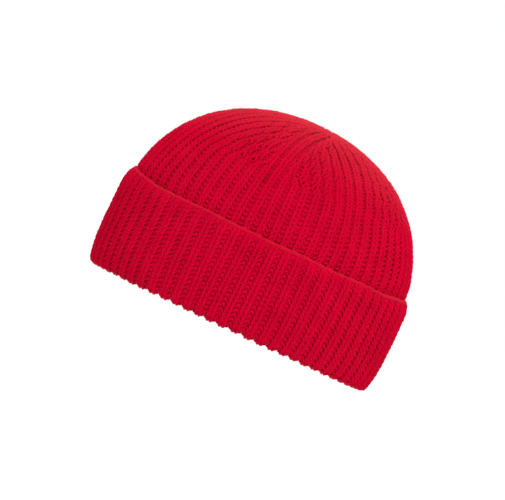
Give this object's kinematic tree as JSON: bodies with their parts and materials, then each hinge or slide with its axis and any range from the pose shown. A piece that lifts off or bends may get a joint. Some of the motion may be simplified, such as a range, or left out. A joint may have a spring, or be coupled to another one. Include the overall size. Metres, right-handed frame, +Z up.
{
  "type": "ribbed knit beanie",
  "caption": "Chunky rib-knit winter hat with a turned-up double cuff and a gored crown gathered at the apex; keeps a head and ears warm.",
  "frame": {"origin": "middle of the brim's lower face, which the hat stands on", "axes": "-X towards the forehead, +X towards the back of the head, Y across the head, +Z up through the crown"},
  "size_m": [0.2106, 0.1726, 0.1475],
  "materials": {
    "body_knit": "fuzzy acrylic and wool yarn",
    "cuff_knit": "fuzzy acrylic and wool yarn",
    "linking_yarn": "thin twisted yarn",
    "label_tape": "satin woven tape",
    "label_thread": "polyester thread"
  },
  "bodies": {
    "root": {"cast_on_edge": "cuff_knit", "cuff": "cuff_knit", "brim_fold": "cuff_knit", "inner_band": "body_knit", "crown_tube": "body_knit", "crown_gore_front_left": "body_knit", "crown_gore_back_left": "body_knit", "crown_gore_back_right": "body_knit", "crown_gore_front_right": "body_knit", "crown_seam_left": "linking_yarn", "crown_seam_right": "linking_yarn", "crown_seam_front": "linking_yarn", "back_seam": "linking_yarn", "crown_gather": "linking_yarn", "care_label": "label_tape", "label_stitches": "label_thread"}
  },
  "joints": []
}
